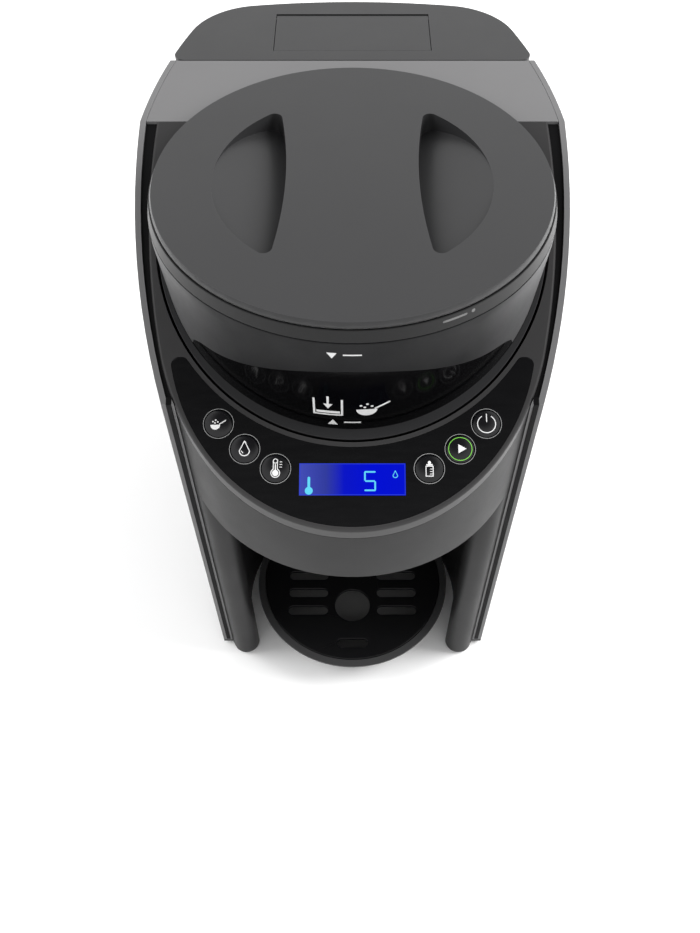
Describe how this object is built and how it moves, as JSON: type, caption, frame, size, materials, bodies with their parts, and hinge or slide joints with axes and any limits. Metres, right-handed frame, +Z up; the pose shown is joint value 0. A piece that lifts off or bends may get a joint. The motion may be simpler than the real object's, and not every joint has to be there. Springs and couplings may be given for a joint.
{
  "type": "baby formula maker",
  "caption": "Countertop baby formula maker: round powder drum with a twist lid on a sloping control panel, bottle niche with a slotted stand, water tank behind.",
  "frame": {"origin": "middle of the bounding box at the height of the table, under the feet", "axes": "+X to the right as the user faces the control panel, +Y to the back, +Z up"},
  "size_m": [0.224, 0.32, 0.341],
  "materials": {
    "housing": "dark grey, fine satin gloss",
    "deck_grey": "dark grey, satin gloss",
    "shell": "dark grey, satin gloss",
    "trim_black": "black, matt",
    "base": "black-grey, matt",
    "rubber": "black, matt",
    "screw": "zinc plated",
    "panel_black": "black, high gloss",
    "lcd_glass": "clear window with a blue backlight behind it",
    "lcd_module": "blue backlight",
    "board": "green board",
    "switch": "black",
    "button": "black, satin, domed",
    "well": "black-grey, matt",
    "steel": "plain",
    "gear": "natural acetal",
    "motor": "zinc plated can",
    "drum": "dark smoked plastic, high gloss",
    "drum_base": "dark grey, gloss",
    "wheel": "light grey, food grade",
    "lid": "dark grey, satin",
    "silicone": "translucent silicone",
    "funnel": "light grey, translucent look",
    "tank": "smoked, see-through",
    "pump": "black",
    "steel_heater": "stainless steel",
    "hose": "clear silicone",
    "stand_grey": "dark grey, satin gloss",
    "grille_black": "black, satin"
  },
  "bodies": {
    "machine": {"front_housing": "housing", "deck_frame": "deck_grey", "outer_shell": "shell", "side_trim_left": "trim_black", "side_trim_right": "trim_black", "top_cover": "shell", "base_plate": "base", "feet": "rubber", "base_screws": "screw", "control_panel": "panel_black", "lcd_glass": "lcd_glass", "lcd_module": "lcd_module", "control_board": "board", "tact_switches": "switch", "board_screws": "screw", "container_well": "well", "gear_bracket": "steel", "idler_pin": "steel", "mixing_motor": "motor", "funnel_rails": "trim_black", "water_nozzle": "trim_black", "tank_dock": "base", "dock_seal": "silicone", "water_pump": "pump", "water_heater": "steel_heater", "power_board": "board", "hose_tank_pump": "hose", "hose_pump_heater": "hose", "hose_heater_nozzle": "hose", "stand_track": "base", "cord_gland": "rubber"},
    "drive": {"drive_gear": "gear", "drive_coupling": "gear"},
    "idler": {"idler_gear": "gear"},
    "pinion": {"motor_pinion": "gear"},
    "container": {"powder_container": "drum", "container_base": "drum_base", "scraper": "wheel"},
    "rotor": {"powder_wheel": "wheel", "stirrer": "wheel"},
    "lid_seal": {"lid_gasket": "silicone"},
    "lid": {"container_lid": "lid", "lid_collar": "lid"},
    "funnel_drawer": {"funnel_holder": "trim_black", "mixing_funnel": "funnel"},
    "tank": {"water_tank": "tank", "tank_lid": "lid", "flap_pin": "steel"},
    "flap": {"fill_flap": "lid"},
    "valve": {"tank_valve": "silicone"},
    "stand": {"bottle_stand": "stand_grey", "stand_slider": "stand_grey"},
    "grille": {"stand_grille": "grille_black"},
    "powder_key": {"powder_button": "button"},
    "water_key": {"water_button": "button"},
    "temp_key": {"temp_button": "button"},
    "volume_key": {"volume_button": "button"},
    "start_key": {"start_button": "button"},
    "power_key": {"power_button": "button"}
  },
  "joints": [
    {"name": "powder_press", "type": "slide", "parent": "machine", "child": "powder_key", "axis": [0, 0.4067, -0.9135], "range_m": [0, 0.0008], "stiffness_N_per_m": 400},
    {"name": "water_press", "type": "slide", "parent": "machine", "child": "water_key", "axis": [0, 0.4067, -0.9135], "range_m": [0, 0.0008], "stiffness_N_per_m": 400},
    {"name": "temp_press", "type": "slide", "parent": "machine", "child": "temp_key", "axis": [0, 0.4067, -0.9135], "range_m": [0, 0.0008], "stiffness_N_per_m": 400},
    {"name": "volume_press", "type": "slide", "parent": "machine", "child": "volume_key", "axis": [0, 0.4067, -0.9135], "range_m": [0, 0.0008], "stiffness_N_per_m": 400},
    {"name": "start_press", "type": "slide", "parent": "machine", "child": "start_key", "axis": [0, 0.4067, -0.9135], "range_m": [0, 0.0008], "stiffness_N_per_m": 400},
    {"name": "power_press", "type": "slide", "parent": "machine", "child": "power_key", "axis": [0, 0.4067, -0.9135], "range_m": [0, 0.0008], "stiffness_N_per_m": 400},
    {"name": "container_lift", "type": "slide", "parent": "machine", "child": "container", "axis": [0, 0, 1], "range_m": [0, 0.12]},
    {"name": "lid_lift", "type": "slide", "parent": "container", "child": "lid_seal", "axis": [0, 0, 1], "range_m": [0, 0.05]},
    {"name": "lid_twist", "type": "hinge", "parent": "lid_seal", "child": "lid", "pos_m": [0, -0.02, 0.338], "axis": [0, 0, 1], "range_deg": [0, 30]},
    {"name": "drive_spin", "type": "hinge", "parent": "machine", "child": "drive", "pos_m": [0, -0.02, 0.212], "axis": [0, 0, 1], "continuous": true},
    {"name": "powder_rotor_spin", "type": "hinge", "parent": "container", "child": "rotor", "pos_m": [0, -0.02, 0.235], "axis": [0, 0, 1], "continuous": true},
    {"name": "idler_spin", "type": "hinge", "parent": "machine", "child": "idler", "pos_m": [0, 0.025, 0.212], "axis": [0, 0, 1], "continuous": true},
    {"name": "pinion_spin", "type": "hinge", "parent": "machine", "child": "pinion", "pos_m": [0, 0.0475, 0.212], "axis": [0, 0, 1], "continuous": true},
    {"name": "funnel_drawer_slide", "type": "slide", "parent": "machine", "child": "funnel_drawer", "axis": [0, -1, 0], "range_m": [0, 0.1]},
    {"name": "tank_lift", "type": "slide", "parent": "machine", "child": "tank", "axis": [0, 0, 1], "range_m": [0, 0.12]},
    {"name": "fill_flap_hinge", "type": "hinge", "parent": "tank", "child": "flap", "pos_m": [0, 0.14325, 0.3321], "axis": [-1, 0, 0], "range_deg": [0, 100]},
    {"name": "tank_valve_lift", "type": "slide", "parent": "tank", "child": "valve", "axis": [0, 0, 1], "range_m": [0, 0.003], "stiffness_N_per_m": 200},
    {"name": "stand_height", "type": "slide", "parent": "machine", "child": "stand", "axis": [0, 0, 1], "range_m": [0, 0.06]},
    {"name": "grille_lift", "type": "slide", "parent": "stand", "child": "grille", "axis": [0, 0, 1], "range_m": [0, 0.04]}
  ],
  "couplings": [
    {"joint": "powder_rotor_spin", "follows": "drive_spin", "ratio": 1},
    {"joint": "idler_spin", "follows": "drive_spin", "ratio": -2},
    {"joint": "pinion_spin", "follows": "drive_spin", "ratio": 4}
  ]
}
